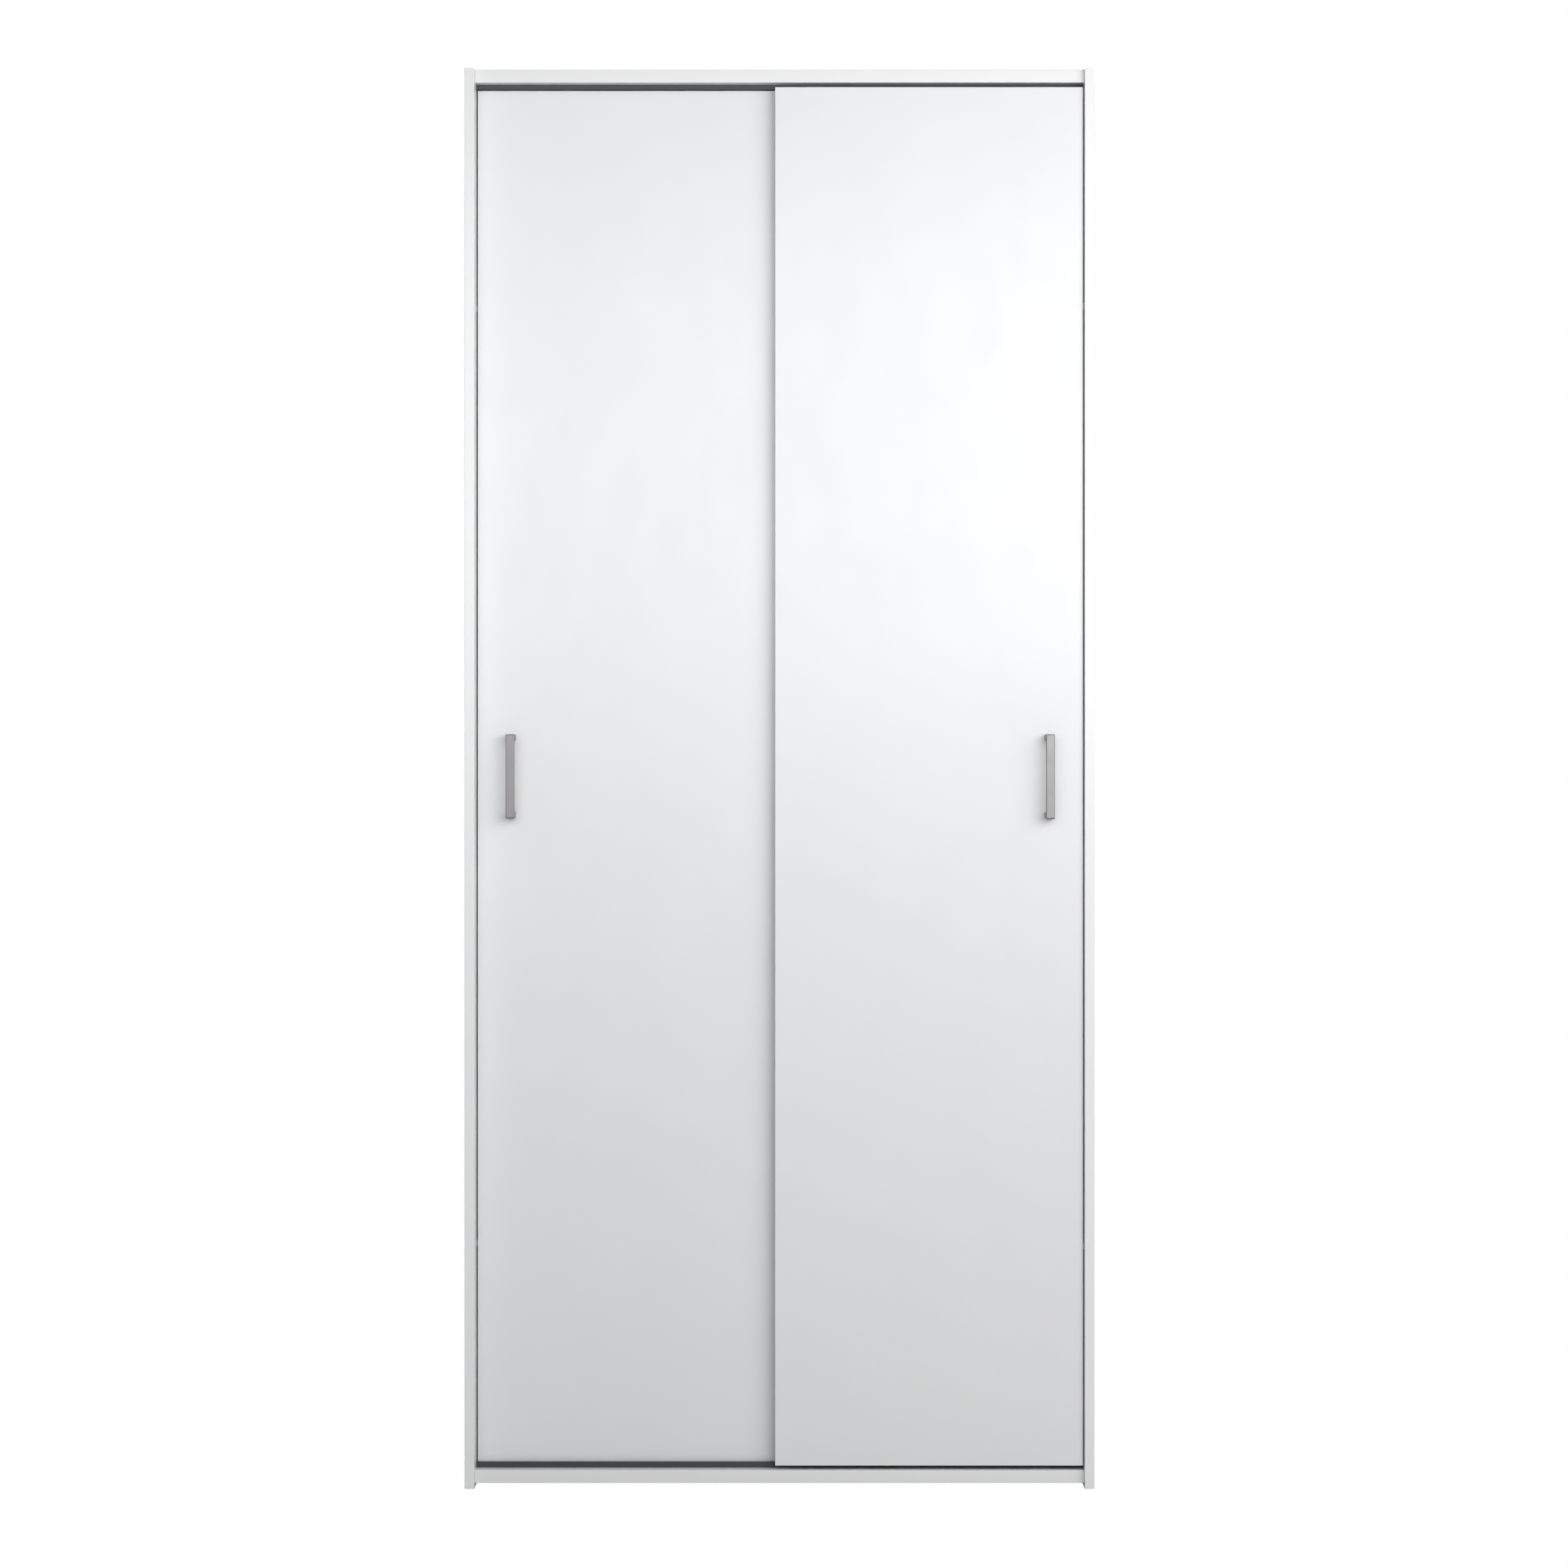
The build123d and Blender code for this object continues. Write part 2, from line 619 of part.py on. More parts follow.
def guide_housing(x, back):
    """The fixed half of a top guide: a plate with ears, two lipped rails, a shelf and stops."""
    inner = GUIDE_HALF_W + RUNNING_GAP
    outer = inner + GUIDE_RAIL_T
    low = GUIDE_SHELF_Z - GUIDE_SHELF_T
    rail_top = GUIDE_STOP_Z + GUIDE_STOP_T
    plate_z = (low, GUIDE_STOP_Z + GUIDE_PLATE_RISE)
    housing = block((-GUIDE_EAR, GUIDE_EAR), (0, GUIDE_PLATE_T), plate_z)
    housing = fillet(housing.edges().filter_by(Axis.Y), GUIDE_PLATE_R)
    housing += block((-outer, outer), (0, GUIDE_FRONT), (low, GUIDE_SHELF_Z))
    lip_y = (GUIDE_FRONT - GUIDE_LIP_T, GUIDE_FRONT)
    stop_y = (GUIDE_PLATE_T, GUIDE_STOP_DEPTH)
    for sign in SIDES.values():
        rail = sorted((sign * inner, sign * outer))
        lip = sorted((sign * (inner - GUIDE_LIP), sign * inner))
        stop = sorted((sign * (FORK_HALF_W + GUIDE_STOP_GAP), sign * inner))
        housing += block(rail, (0, GUIDE_FRONT), (GUIDE_SHELF_Z, rail_top))
        housing += block(lip, lip_y, (GUIDE_SHELF_Z, rail_top))
        housing += block(stop, stop_y, (GUIDE_STOP_Z, rail_top))
    places = guide_screw_places(x, back + GUIDE_PLATE_T)
    return Pos(x, back, 0) * housing - holes(places, FORWARD, FITTING_SCREW, GUIDE_PLATE_T)


def guide_slider(x, back):
    """The sprung half of a top guide: a block with a fork that straddles a rib."""
    levels = (SLIDER_BOTTOM, SLIDER_TOP)
    face = GUIDE_FRONT - GUIDE_LIP_T - RUNNING_GAP
    narrow = GUIDE_HALF_W - GUIDE_LIP
    start = GUIDE_PLATE_T + RUNNING_GAP
    slider = block((-GUIDE_HALF_W, GUIDE_HALF_W), (start, face), levels)
    slider += block((-narrow, narrow), (face, GUIDE_FRONT), levels)
    grip_x = narrow - GRIP_MARGIN
    grip_y = (GUIDE_FRONT - GRIP_DEPTH, GUIDE_FRONT + OVERRUN)
    grip_z = (SLIDER_BOTTOM + GRIP_LOW, SLIDER_BOTTOM + GRIP_HIGH)
    slider -= block((-grip_x, grip_x), grip_y, grip_z)
    arm_start = RIB_T / 2 + FORK_PLAY
    for sign in SIDES.values():
        ends = (sign * arm_start, sign * (arm_start + FORK_ARM_T))
        depths = sorted(RIB_FROM_DOOR_BACK + end for end in ends)
        arm = block((-FORK_HALF_W, FORK_HALF_W), depths, (SLIDER_TOP - OVERRUN, FORK_TOP))
        slider += fillet(arm.edges().filter_by(Axis.Y).group_by(Axis.Z)[-1], FORK_R)
    return Pos(x, back, 0) * slider


def guide_spring(x, back):
    """An arched leaf spring between the housing's shelf and the slider."""
    foot = GUIDE_SHELF_Z + SPRING_FOOT_GAP
    crown = foot + SPRING_RISE
    outer = SPRING_HALF_W
    inner = SPRING_HALF_W - SPRING_T
    outline = [
        ThreePointArc((-outer, foot), (0, crown), (outer, foot)),
        Line((outer, foot), (inner, foot)),
        ThreePointArc((inner, foot), (0, crown - SPRING_T), (-inner, foot)),
        Line((-inner, foot), (-outer, foot)),
    ]
    leaf = extrude(Plane.XZ * make_face(outline), SPRING_W / 2, both=True)
    return Pos(x, back + RIB_FROM_DOOR_BACK, 0) * leaf


# ---------------------------------------------------------------- fittings


def clothes_rail():
    """A round tube between the two brackets."""
    length = 2 * (INSIDE_X - RAIL_PLATE_T - RAIL_END_GAP)
    tube = Cylinder(RAIL_R, length) - Cylinder(RAIL_R - RAIL_WALL, length)
    return along(tube, Vector(0, RAIL_DEPTH, RAIL_Z), RIGHT)


def rail_bracket(sign):
    """A round plate with a socket for the end of the clothes rail."""
    plate = rod(RAIL_PLATE_R, RAIL_PLATE_T)
    plate = fillet(plate.edges().group_by(Axis.Z)[-1], RAIL_PLATE_EDGE_R)
    socket = rod(RAIL_R + RAIL_SOCKET_WALL, RAIL_SOCKET)
    bore = rod(RAIL_R + PLAY, RAIL_SOCKET, RAIL_PLATE_T)
    foot = Vector(sign * INSIDE_X, RAIL_DEPTH, RAIL_Z)
    bracket = along(plate + socket - bore, foot, inward(sign))
    return bracket - holes(rail_screw_places(sign), outward(sign), RAIL_SCREW, RAIL_PLATE_T)


def wall_bracket_screw_places(sign, z):
    """Where the axes of a wall bracket's two screws meet a height."""
    x = sign * WALL_BRACKET_X
    return [Vector(x, SIDE_DEPTH - inset, z) for inset in WALL_BRACKET_SCREWS_FROM_BACK]


def wall_bracket(sign):
    """An angle bracket under the top board, with a hole through its rear leg for a wall screw."""
    middle = sign * WALL_BRACKET_X
    x = (middle - WALL_BRACKET_W / 2, middle + WALL_BRACKET_W / 2)
    under = TOP_BOARD_Z - WALL_BRACKET_T
    inner = SIDE_DEPTH - WALL_BRACKET_T
    upper = block(x, (SIDE_DEPTH - WALL_BRACKET_LEG, SIDE_DEPTH), (under, TOP_BOARD_Z))
    rear = block(x, (inner, SIDE_DEPTH), (TOP_BOARD_Z - WALL_BRACKET_LEG, TOP_BOARD_Z))
    upper = fillet(upper.edges().filter_by(Axis.Z).group_by(Axis.Y)[0], WALL_BRACKET_R)
    rear = fillet(rear.edges().filter_by(Axis.Y).group_by(Axis.Z)[0], WALL_BRACKET_R)
    places = wall_bracket_screw_places(sign, under)
    cutters = holes(places, UP, WALL_BRACKET_SCREW, WALL_BRACKET_T)
    hole = drill(Vector(middle, inner, WALL_SCREW_Z), BACKWARD, WALL_SCREW_R, WALL_BRACKET_T + OVERRUN)
    return upper + rear - cutters - hole


def back_panel(low, high):
    """A hardboard sheet between two heights."""
    half = WIDTH / 2 - HARDBOARD_INSET
    return block((-half, half), (SIDE_DEPTH, SIDE_DEPTH + HARDBOARD_T), (low, high))


def wall_screw_holes():
    """The cutters for the wall screws through the back."""
    places = [Vector(s * WALL_BRACKET_X, SIDE_DEPTH, WALL_SCREW_Z) for s in SIDES.values()]
    return [drill(p, BACKWARD, WALL_SCREW_R, HARDBOARD_T + OVERRUN) for p in places]


def joining_strip():
    """An H section that holds the edges of the two hardboard sheets."""
    x = (-TRACK_HALF, TRACK_HALF)
    inner, outer = SIDE_DEPTH, SIDE_DEPTH + HARDBOARD_T
    flange = (JOIN_Z - STRIP_FLANGE, JOIN_Z + STRIP_FLANGE)
    strip = block(x, (inner - STRIP_FLANGE_T, inner), flange)
    strip += block(x, (outer, outer + STRIP_FLANGE_T), flange)
    return strip + block(x, (inner, outer), (JOIN_Z - STRIP_WEB / 2, JOIN_Z + STRIP_WEB / 2))


def nail_places():
    """Where each nail's head rests on the back."""
    y = SIDE_DEPTH + HARDBOARD_T
    low, high = GLIDE_HEIGHT + NAIL_FROM_END, CARCASS_TOP - NAIL_FROM_END
    rows = [low + (high - low) * n / (NAIL_ROWS - 1) for n in range(NAIL_ROWS)]
    places = [Vector(sign * SIDE_MIDDLE_X, y, z) for sign in SIDES.values() for z in rows]
    edges = (BOTTOM_BOARD_Z + BOARD_T / 2, TOP_BOARD_Z + BOARD_T / 2)
    return places + [Vector(x, y, z) for z in edges for x in NAIL_COLUMNS]


def floor_glide():
    """A narrow plastic runner with a pin, its top face on z = 0."""
    pad = Pos(0, 0, -GLIDE_HEIGHT) * Box(GLIDE_W, GLIDE_LENGTH, GLIDE_HEIGHT, align=UPRIGHT)
    pad = fillet(pad.edges().filter_by(Axis.Z), GLIDE_R)
    pad = fillet(pad.edges().group_by(Axis.Z)[0], GLIDE_EDGE_R)
    return pad + rod(GLIDE_PIN_R, GLIDE_PIN)


def door_bumper():
    """A small self-adhesive rubber pad, standing on z = 0."""
    pad = rod(BUMPER_R, DOOR_SIDE_GAP - RUNNING_GAP)
    return fillet(pad.edges().group_by(Axis.Z)[-1], BUMPER_EDGE_R)


def bumper_places():
    """Two pads on each side panel, where its closed door comes to rest."""
    heights = (DOOR_BOTTOM_Z + BUMPER_FROM_END, DOOR_TOP_Z - BUMPER_FROM_END)
    return [
        (Vector(sign * INSIDE_X, SETBACKS[side] + DOOR_T / 2, z), inward(sign))
        for side, sign in SIDES.items()
        for z in heights
    ]


# ---------------------------------------------------------------- nodes


def save_boards():
    """The sides, the boards between them and the back."""
    for side, sign in SIDES.items():
        save(f"{side}_side_panel", side_panel(sign))
    bottom, shelf, top = LEVELS
    radius = WALL_BRACKET_SCREW.radius + PLAY
    depth = WALL_BRACKET_SCREW.length - WALL_BRACKET_T + PLAY
    places = [p for s in SIDES.values() for p in wall_bracket_screw_places(s, TOP_BOARD_Z)]
    upper = track_pilots(TOP_BOARD_Z, UP) + [drill(p, UP, radius, depth) for p in places]
    lower = track_pilots(FLOOR_BOARD_TOP, DOWN)
    save("bottom_panel", flat_board(bottom, BOARD_SETBACK, SIDE_DEPTH, lower))
    save("top_panel", flat_board(top, BOARD_SETBACK, SIDE_DEPTH, upper))
    save("hat_shelf", flat_board(shelf, SHELF_SETBACK, SIDE_DEPTH - SHELF_BACK_GAP, []))
    edge = STRIP_WEB / 2 + STRIP_PLAY
    save("lower_back_panel", back_panel(BOTTOM_BOARD_Z + HARDBOARD_INSET, JOIN_Z - edge))
    upper_sheet = back_panel(JOIN_Z + edge, CARCASS_TOP - HARDBOARD_INSET)
    save("upper_back_panel", upper_sheet - wall_screw_holes())
    save("back_joining_strip", joining_strip())


def save_fixings():
    """What joins the boards, and the pads on them."""
    save("back_nails", *[along(nail(), p, FORWARD) for p in nail_places()])
    cams = [place for level in LEVELS for place in cam_places(level)]
    turned = [Pos(p) * Rot(0, 0, 0 if s > 0 else 180) * cam_lock() for p, s in cams]
    save("cam_locks", *turned)
    save("cam_bolts", *[along(cam_bolt(), p, inward(s)) for p, s in bolt_places()])
    save("dowels", *[along(dowel(), p, inward(s)) for p, s in dowel_places()])
    glides = [Pos(p) * floor_glide() for s in SIDES.values() for p in glide_places(s)]
    save("floor_glides", *glides)
    save("door_bumpers", *[along(door_bumper(), p, way) for p, way in bumper_places()])


def save_fittings():
    """The tracks, the clothes rail and the wall brackets, with their screws."""
    save("bottom_track", track(FLOOR_BOARD_TOP, DOWN, BOTTOM_RIB))
    save("top_track", track(TOP_BOARD_Z, UP, TOP_RIB))
    seats = ((FLOOR_BOARD_TOP, DOWN), (TOP_BOARD_Z, UP))
    screw = flat_screw(TRACK_SCREW)
    screws = [along(screw, p, way) for z, way in seats for p in track_screw_places(z, way)]
    save("track_screws", *screws)
    save("clothes_rail", clothes_rail())
    rail_screws, wall_screws = [], []
    for side, sign in SIDES.items():
        save(f"rail_bracket_{side}", rail_bracket(sign))
        save(f"wall_bracket_{side}", wall_bracket(sign))
        screw = pan_screw(RAIL_SCREW)
        rail_screws += [along(screw, p, outward(sign)) for p in rail_screw_places(sign)]
        screw = pan_screw(WALL_BRACKET_SCREW)
        places = wall_bracket_screw_places(sign, TOP_BOARD_Z - WALL_BRACKET_T)
        wall_screws += [along(screw, p, UP) for p in places]
    save("rail_bracket_screws", *rail_screws)
    save("wall_bracket_screws", *wall_screws)


def save_door(side, sign, setback):
    """A door with its handle, carriages, rollers and top guides."""
    back = setback + DOOR_T
    save(f"{side}_door_panel", door_panel(sign, setback))
    save(f"{side}_door_handle", handle(sign, setback))
    screw = pan_screw(HANDLE_SCREW)
    places = handle_screw_places(sign, back)
    save(f"{side}_handle_screws", *[along(screw, p, FORWARD) for p in places])
    screw = pan_screw(FITTING_SCREW)
    axles, carriage_screws, guide_screws = [], [], []
    for end, end_sign in ENDS.items():
        x = fitting_x(sign, end_sign)
        save(f"{side}_carriage_{end}", carriage(x, back))
        save(f"{side}_roller_{end}", roller(x, back + RIB_FROM_DOOR_BACK))
        save(f"{side}_guide_housing_{end}", guide_housing(x, back))
        save(f"{side}_guide_slider_{end}", guide_slider(x, back))
        save(f"{side}_guide_spring_{end}", guide_spring(x, back))
        axles.append(axle(x, back))
        places = carriage_screw_places(x, back + CARRIAGE_T)
        carriage_screws += [along(screw, p, FORWARD) for p in places]
        places = guide_screw_places(x, back + GUIDE_PLATE_T)
        guide_screws += [along(screw, p, FORWARD) for p in places]
    save(f"{side}_roller_axles", *axles)
    save(f"{side}_carriage_screws", *carriage_screws)
    save(f"{side}_guide_screws", *guide_screws)


def main():
    """Writes every node."""
    os.makedirs("parts", exist_ok=True)
    save_boards()
    save_fixings()
    save_fittings()
    for side, sign in SIDES.items():
        save_door(side, sign, SETBACKS[side])


main()
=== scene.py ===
"""Sliding door wardrobe: materials, mesh pieces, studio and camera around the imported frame.

Lengths are metres, in the row frame: X to the right, +Y from the doors to the back, Z up.
"""

import math
from typing import NamedTuple

import bpy
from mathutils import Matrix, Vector


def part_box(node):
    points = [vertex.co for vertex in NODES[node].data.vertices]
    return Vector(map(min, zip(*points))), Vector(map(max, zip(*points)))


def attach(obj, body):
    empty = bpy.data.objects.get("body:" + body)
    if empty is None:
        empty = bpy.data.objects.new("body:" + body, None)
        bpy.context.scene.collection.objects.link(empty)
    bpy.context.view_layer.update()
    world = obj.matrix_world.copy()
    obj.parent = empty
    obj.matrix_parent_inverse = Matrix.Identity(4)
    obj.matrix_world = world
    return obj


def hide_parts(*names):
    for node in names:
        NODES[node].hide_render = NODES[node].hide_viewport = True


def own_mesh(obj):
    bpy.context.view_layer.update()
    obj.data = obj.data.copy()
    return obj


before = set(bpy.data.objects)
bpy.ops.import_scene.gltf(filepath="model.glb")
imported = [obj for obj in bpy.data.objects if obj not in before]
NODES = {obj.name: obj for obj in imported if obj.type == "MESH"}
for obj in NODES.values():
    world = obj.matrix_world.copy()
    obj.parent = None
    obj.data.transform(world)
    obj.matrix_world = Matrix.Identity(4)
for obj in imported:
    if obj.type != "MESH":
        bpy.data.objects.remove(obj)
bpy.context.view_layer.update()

MM = 0.001
SIDES = ("left", "right")
ENDS = ("outer", "inner")

# ------------------------------------------------------------------ building materials


class Graph:
    """One material's node tree around a Principled shader, with short names for its nodes."""

    def __init__(self, name):
        self.material = bpy.data.materials.new(name)
        self.material.use_nodes = True
        self.tree = self.material.node_tree
        self.tree.nodes.clear()
        self.shader = self.add("ShaderNodeBsdfPrincipled")
        output = self.add("ShaderNodeOutputMaterial")
        self.join(self.shader.outputs["BSDF"], output.inputs["Surface"])
        self.place = self.add("ShaderNodeTexCoord").outputs["Object"]

    def add(self, kind, **settings):
        """A new node with its settings."""
        node = self.tree.nodes.new(kind)
        for key, value in settings.items():
            setattr(node, key, value)
        return node

    def join(self, source, target):
        """Links an output to an input, or sets the input to a plain value."""
        if isinstance(source, bpy.types.NodeSocket):
            self.tree.links.new(source, target)
        else:
            target.default_value = source

    def set(self, **values):
        """Sets or links inputs of the shader; an underscore in a name is a space."""
        for key, value in values.items():
            self.join(value, self.shader.inputs[key.replace("_", " ")])

    def math(self, operation, a, b=0.0):
        """A Math node's result."""
        node = self.add("ShaderNodeMath", operation=operation)
        self.join(a, node.inputs[0])
        self.join(b, node.inputs[1])
        return node.outputs[0]

    def product(self, factors):
        """Several values multiplied together."""
        result = factors[0]
        for factor in factors[1:]:
            result = self.math("MULTIPLY", result, factor)
        return result

    def largest(self, values):
        """The largest of several values."""
        result = values[0]
        for value in values[1:]:
            result = self.math("MAXIMUM", result, value)
        return result

    def parts(self, vector):
        """The three parts of a vector or a colour."""
        node = self.add("ShaderNodeSeparateXYZ")
        self.join(vector, node.inputs[0])
        return node.outputs

    def stretched(self, scale):
        """The surface point with each axis multiplied by a factor, to draw a pattern out."""
        node = self.add("ShaderNodeVectorMath", operation="MULTIPLY")
        self.join(self.place, node.inputs[0])
        node.inputs[1].default_value = scale
        return node.outputs[0]

    def distance(self, point):
        """How far the surface is from a point."""
        node = self.add("ShaderNodeVectorMath", operation="DISTANCE")
        self.join(self.place, node.inputs[0])
        node.inputs[1].default_value = point
        return node.outputs["Value"]

    def noise(self, scale, detail=2.0, stretch=(1, 1, 1), rough=0.5):
        """Soft noise from 0 to 1; scale is in repeats per metre."""
        node = self.add("ShaderNodeTexNoise")
        self.join(self.stretched(stretch), node.inputs["Vector"])
        node.inputs["Scale"].default_value = scale
        node.inputs["Detail"].default_value = detail
        node.inputs["Roughness"].default_value = rough
        return node.outputs["Fac"]

    def cells(self, scale, stretch=(1, 1, 1)):
        """Voronoi cells' random colours, for chips or grains; scale is in cells per metre."""
        node = self.add("ShaderNodeTexVoronoi")
        self.join(self.stretched(stretch), node.inputs["Vector"])
        node.inputs["Scale"].default_value = scale
        return node.outputs["Color"]

    def ranged(self, value, old, new):
        """A value mapped from one range to another, clamped."""
        node = self.add("ShaderNodeMapRange")
        self.join(value, node.inputs["Value"])
        for name, number in zip(("From Min", "From Max", "To Min", "To Max"), (*old, *new)):
            node.inputs[name].default_value = number
        return node.outputs["Result"]

    def mixed(self, factor, a, b):
        """A colour between a and b."""
        node = self.add("ShaderNodeMix", data_type="RGBA")
        self.join(factor, node.inputs["Factor"])
        self.join(a if isinstance(a, bpy.types.NodeSocket) else (*a, 1), node.inputs["A"])
        self.join(b if isinstance(b, bpy.types.NodeSocket) else (*b, 1), node.inputs["B"])
        return node.outputs["Result"]

    def blended(self, factor, a, b):
        """A number between a and b."""
        node = self.add("ShaderNodeMix", data_type="FLOAT")
        self.join(factor, node.inputs["Factor"])
        self.join(a, node.inputs["A"])
        self.join(b, node.inputs["B"])
        return node.outputs["Result"]

    def relief(self, height, distance, strength=1.0, below=None):
        """A bump of a real depth, on top of an earlier one."""
        node = self.add("ShaderNodeBump")
        self.join(height, node.inputs["Height"])
        node.inputs["Distance"].default_value = distance
        node.inputs["Strength"].default_value = strength
        if below is not None:
            self.join(below, node.inputs["Normal"])
        return node.outputs["Normal"]

    def between(self, value, low, high):
        """1 where a value lies between two numbers, else 0."""
        above = self.math("GREATER_THAN", value, low)
        return self.math("MULTIPLY", above, self.math("LESS_THAN", value, high))

    def near(self, value, at, reach):
        """1 at a value, falling smoothly to 0 a reach away from it."""
        away = self.math("ABSOLUTE", self.math("SUBTRACT", value, at))
        return self.ranged(away, (0, reach), (1, 0))


# ------------------------------------------------------------------ board materials

# The printed paper on a board's faces. Touched places are rougher, out to the far distance.
MELAMINE = (0.842, 0.846, 0.855)
MELAMINE_SHADE = 0.985
PAPER_ROUGHNESS = (0.30, 0.36)
PEARL_ROUGHNESS = 0.03
TOUCH_ROUGHNESS = 0.09
TOUCH_REACH = (0.03, 0.16)
# The plastic strip glued round its edges, and the line of glue beside it.
BANDING = (0.882, 0.886, 0.892)
BANDING_ROUGHNESS = 0.27
GLUE_LINE = (0.50, 0.49, 0.47)
GLUE_SHOWS = 0.35
# How deep the paper and the strip go, and how wide the glue shows.
SKIN = 0.25 * MM
BAND = 0.8 * MM
SEAM = 0.09 * MM
BAND_STARTS = 0.001
CUT_ROUGHNESS = 0.9

# The hardboard's inner lacquer, and the wires of the screen that it was pressed on.
LACQUER = 0.3 * MM
SCREEN_PITCH = 1.6 * MM


def chipboard(graph):
    """A cut chipboard edge: pale chips of many sizes in a darker binder, and its relief."""
    fine = graph.parts(graph.cells(900, stretch=(1, 1, 1.8)))[0]
    coarse = graph.parts(graph.cells(330, stretch=(1, 1, 2.4)))[1]
    chips = graph.mixed(fine, (0.34, 0.23, 0.13), (0.62, 0.47, 0.30))
    chips = graph.mixed(graph.ranged(coarse, (0.55, 0.95), (0, 0.7)), chips, (0.22, 0.14, 0.075))
    return chips, fine


def board_zones(graph, node, skin_axis, banded):
    """Where a board is core, edge banding and the seam beside the banding, each from 0 to 1.

    A point deeper than the skin and the bands is core, which cut edges and drilled holes show.
    """
    low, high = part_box(node)
    places = graph.parts(graph.place)
    inside, bands, seams = [], [], []
    for index, axis in enumerate("xyz"):
        margins = []
        for sign, edge, inward in (("-", low[index], 1), ("+", high[index], -1)):
            is_banded = sign + axis in banded
            margins.append(SKIN if axis == skin_axis else BAND if is_banded else -MM)
            if is_banded:
                bands.append(graph.near(places[index], edge, BAND))
                seams.append(graph.near(places[index], edge + inward * BAND, SEAM))
        inside.append(graph.between(places[index], low[index] + margins[0], high[index] - margins[1]))
    band = graph.math("GREATER_THAN", graph.largest(bands), BAND_STARTS)
    return graph.product(inside), band, graph.largest(seams)


def board(node, skin_axis, banded, handle_at=None):
    """Melamine faces on a chipboard core, with edge banding on the named edges, such as "-y"."""
    graph = Graph(f"{node}_melamine")
    core, band, seam = board_zones(graph, node, skin_axis, banded)
    mottle = graph.ranged(graph.noise(9, detail=3), (0.3, 0.7), (0, 1))
    paper = graph.mixed(mottle, MELAMINE, [c * MELAMINE_SHADE for c in MELAMINE])
    colour = graph.mixed(band, paper, BANDING)
    colour = graph.mixed(graph.math("MULTIPLY", seam, GLUE_SHOWS), colour, GLUE_LINE)
    chips, chip_height = chipboard(graph)
    colour = graph.mixed(core, colour, chips)

    pearl = graph.noise(1500, detail=2, rough=0.6)
    wave = graph.noise(60, detail=1)
    smear = graph.ranged(graph.noise(28, detail=4, stretch=(1, 1, 0.35)), (0.42, 0.68), (0, 1))
    rough = graph.blended(smear, *PAPER_ROUGHNESS)
    speckle = graph.ranged(pearl, (0.3, 0.7), (-PEARL_ROUGHNESS, PEARL_ROUGHNESS))
    rough = graph.math("ADD", rough, speckle)
    if handle_at is not None:
        touched = graph.ranged(graph.distance(handle_at), TOUCH_REACH, (TOUCH_ROUGHNESS, 0))
        rough = graph.math("ADD", rough, graph.math("MULTIPLY", touched, smear))
    rough = graph.blended(band, rough, BANDING_ROUGHNESS)
    graph.set(Base_Color=colour, Roughness=graph.blended(core, rough, CUT_ROUGHNESS), IOR=1.5)
    faces = graph.relief(pearl, 0.012 * MM)
    faces = graph.relief(wave, 0.012 * MM, 0.6, faces)
    rough_cut = graph.math("MULTIPLY", chip_height, core)
    graph.set(Normal=graph.relief(rough_cut, 0.3 * MM, 1.0, faces))
    return graph.material


def hardboard():
    """White lacquer inside; outside, raw brown fibre with the imprint of the press's wire screen."""
    graph = Graph("hardboard")
    inner_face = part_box("lower_back_panel")[0].y
    x, y, z = graph.parts(graph.place)
    raw = graph.math("GREATER_THAN", y, inner_face + LACQUER)
    fibres = graph.noise(420, detail=5, stretch=(1, 1, 0.3), rough=0.7)
    clouds = graph.noise(14, detail=3)
    brown = graph.mixed(fibres, (0.155, 0.085, 0.042), (0.30, 0.185, 0.10))
    brown = graph.mixed(graph.ranged(clouds, (0.35, 0.7), (0, 0.45)), brown, (0.21, 0.125, 0.065))
    lacquer = graph.mixed(clouds, (0.78, 0.785, 0.79), (0.80, 0.80, 0.80))
    graph.set(Base_Color=graph.mixed(raw, lacquer, brown), Roughness=graph.blended(raw, 0.42, 0.82))
    turns = 2 * math.pi / SCREEN_PITCH
    warp = graph.math("SINE", graph.math("MULTIPLY", x, turns))
    weft = graph.math("SINE", graph.math("MULTIPLY", z, turns))
    imprint = graph.relief(graph.product([warp, weft, raw]), 0.12 * MM, 0.7)
    graph.set(Normal=graph.relief(fibres, 0.06 * MM, 0.6, imprint))
    return graph.material


# ------------------------------------------------------------------ other materials


def extruded_plastic():
    """Dark grey track plastic, with fine lines along the extrusion and a slight bloom."""
    graph = Graph("track_plastic")
    lines = graph.noise(2600, detail=1, stretch=(0.004, 1, 1))
    bloom = graph.noise(40, detail=4)
    colour = graph.mixed(bloom, (0.046, 0.048, 0.051), (0.062, 0.064, 0.067))
    graph.set(Base_Color=colour, Roughness=graph.ranged(lines, (0.3, 0.7), (0.50, 0.62)))
    graph.set(Normal=graph.relief(lines, 0.02 * MM, 0.7))
    return graph.material


